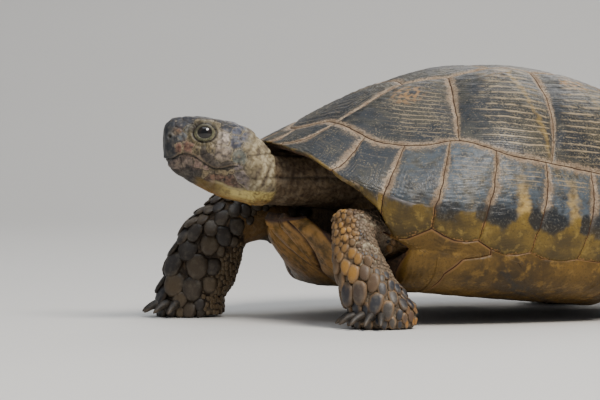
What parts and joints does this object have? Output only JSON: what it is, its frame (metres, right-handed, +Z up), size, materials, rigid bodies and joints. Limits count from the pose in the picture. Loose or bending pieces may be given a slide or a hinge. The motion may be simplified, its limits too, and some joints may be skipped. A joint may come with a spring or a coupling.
{
  "type": "tortoise",
  "caption": "Still, life-size spur-thighed tortoise standing in mid stride, head and neck stretched forward, domed horny shell, flat belly plate, scaled legs.",
  "frame": {"origin": "on the floor under the centre of the bounding box", "axes": "-X towards the head, -Y to the animal's left, +Z up from the floor it stands on"},
  "size_m": [0.2682, 0.165, 0.1188],
  "materials": {
    "shell_plate": "worn satin horn, slate and olive-yellow",
    "belly_plate": "worn satin horn, brown-ochre",
    "head_scale": "satin horny scales, slate grey",
    "soft_skin": "matt wrinkled skin, grey-brown",
    "leg_scale": "satin horny scales, orange-tan and slate",
    "claw": "satin dark horn",
    "eye": "wet gloss, near black"
  },
  "bodies": {
    "root": {"carapace": "shell_plate", "claw_front_left_1": "claw", "claw_front_left_2": "claw", "claw_front_left_3": "claw", "claw_front_left_4": "claw", "claw_front_left_5": "claw", "claw_front_right_1": "claw", "claw_front_right_2": "claw", "claw_front_right_3": "claw", "claw_front_right_4": "claw", "claw_front_right_5": "claw", "claw_hind_left_1": "claw", "claw_hind_left_2": "claw", "claw_hind_left_3": "claw", "claw_hind_left_4": "claw", "claw_hind_right_1": "claw", "claw_hind_right_2": "claw", "claw_hind_right_3": "claw", "claw_hind_right_4": "claw", "eye_left": "eye", "eye_right": "eye", "forefoot_left": "leg_scale", "forefoot_right": "leg_scale", "foreleg_lower_left": "leg_scale", "foreleg_lower_right": "leg_scale", "foreleg_upper_left": "leg_scale", "foreleg_upper_right": "leg_scale", "head": "head_scale", "hindfoot_left": "leg_scale", "hindfoot_right": "leg_scale", "hindleg_left": "leg_scale", "hindleg_right": "leg_scale", "lower_jaw": "head_scale", "neck": "soft_skin", "plastron": "belly_plate", "tail": "soft_skin", "trunk": "soft_skin"}
  },
  "joints": []
}
